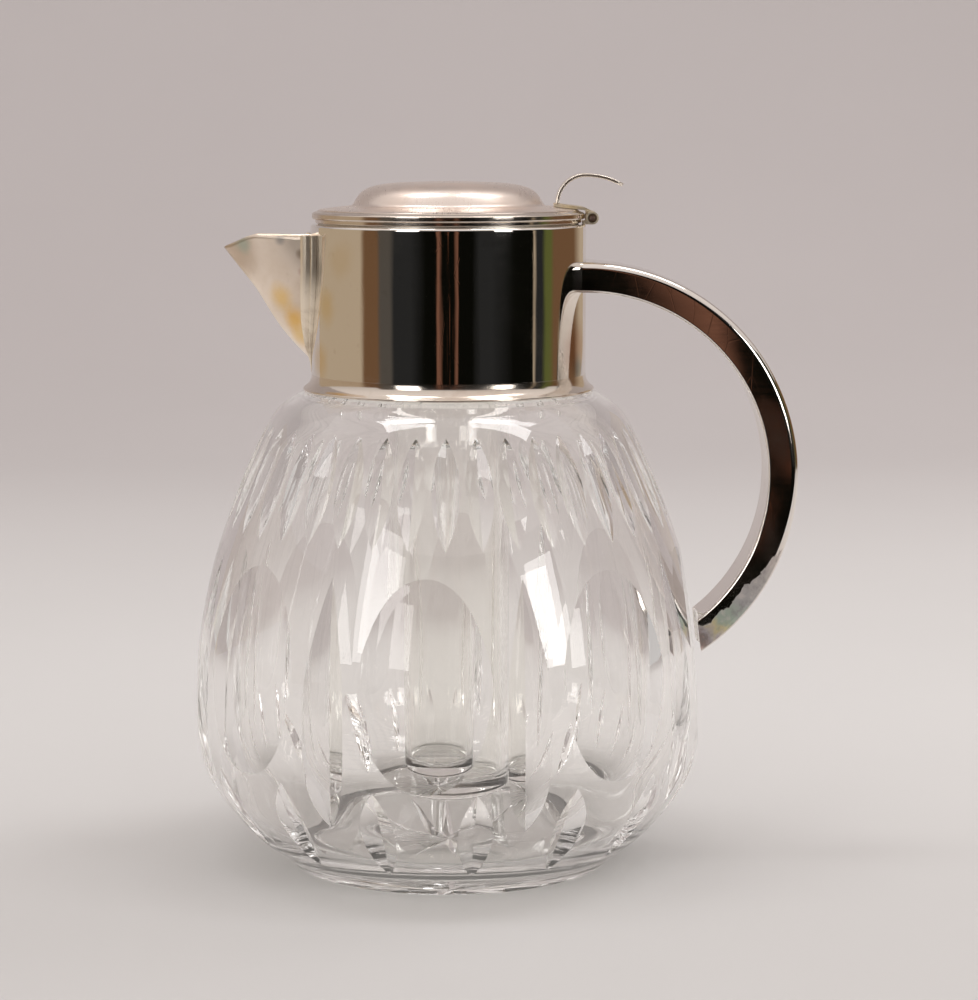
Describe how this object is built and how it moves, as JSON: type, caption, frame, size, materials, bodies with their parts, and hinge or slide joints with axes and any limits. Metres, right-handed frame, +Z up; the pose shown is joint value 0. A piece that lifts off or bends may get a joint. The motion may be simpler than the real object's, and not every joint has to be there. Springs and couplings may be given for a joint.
{
  "type": "lidded glass pitcher with ice insert",
  "caption": "Cut glass wine pitcher with a plated collar, hinged lid with thumb strip, open pouring beak, C handle and a hanging glass ice tube that lifts.",
  "frame": {"origin": "centre of the foot, on the surface the jug stands on (the jug's own axis of revolution)", "axes": "+Z up along the jug axis, +X towards the handle and lid hinge, -X towards the pouring beak"},
  "size_m": [0.2199, 0.1858, 0.2523],
  "materials": {
    "cut_glass": "polished, clear",
    "insert_glass": "polished, clear",
    "collar_silver": "polished silver plate with light tarnish",
    "lid_silver": "polished silver plate, finely scratched",
    "spout_silver": "satin silver plate with yellow tarnish",
    "handle_silver": "polished silver plate with brown tarnish",
    "hinge_silver": "polished silver plate",
    "inner_silver": "dull silver plate",
    "pin_metal": "worn pin end",
    "cement": "dry plaster"
  },
  "bodies": {
    "jug": {"glass_body": "cut_glass", "neck_cement": "cement", "collar_shell": "collar_silver", "collar_foot_ring": "collar_silver", "collar_rim": "collar_silver", "insert_ledge": "inner_silver", "spout_strainer": "inner_silver", "spout_shell": "spout_silver", "spout_flange": "spout_silver", "handle_shell": "handle_silver", "handle_inner_strip": "handle_silver", "handle_end_cap": "handle_silver", "collar_hinge_leaf": "hinge_silver", "hinge_pin": "pin_metal"},
    "lid": {"lid_cover": "lid_silver", "lid_rim": "lid_silver", "lid_skirt": "inner_silver", "lid_hinge_leaf": "hinge_silver", "thumbpiece": "hinge_silver"},
    "insert": {"ice_insert": "insert_glass", "insert_flange": "inner_silver", "insert_ferrule": "inner_silver", "insert_cement": "cement"}
  },
  "joints": [
    {"name": "lid_hinge", "type": "hinge", "parent": "jug", "child": "lid", "pos_m": [0.0519, 0, 0.2364], "axis": [0, 1, 0], "range_deg": [0, 105]},
    {"name": "insert_lift", "type": "slide", "parent": "jug", "child": "insert", "axis": [0, 0, 1], "range_m": [0, 0.005]}
  ]
}
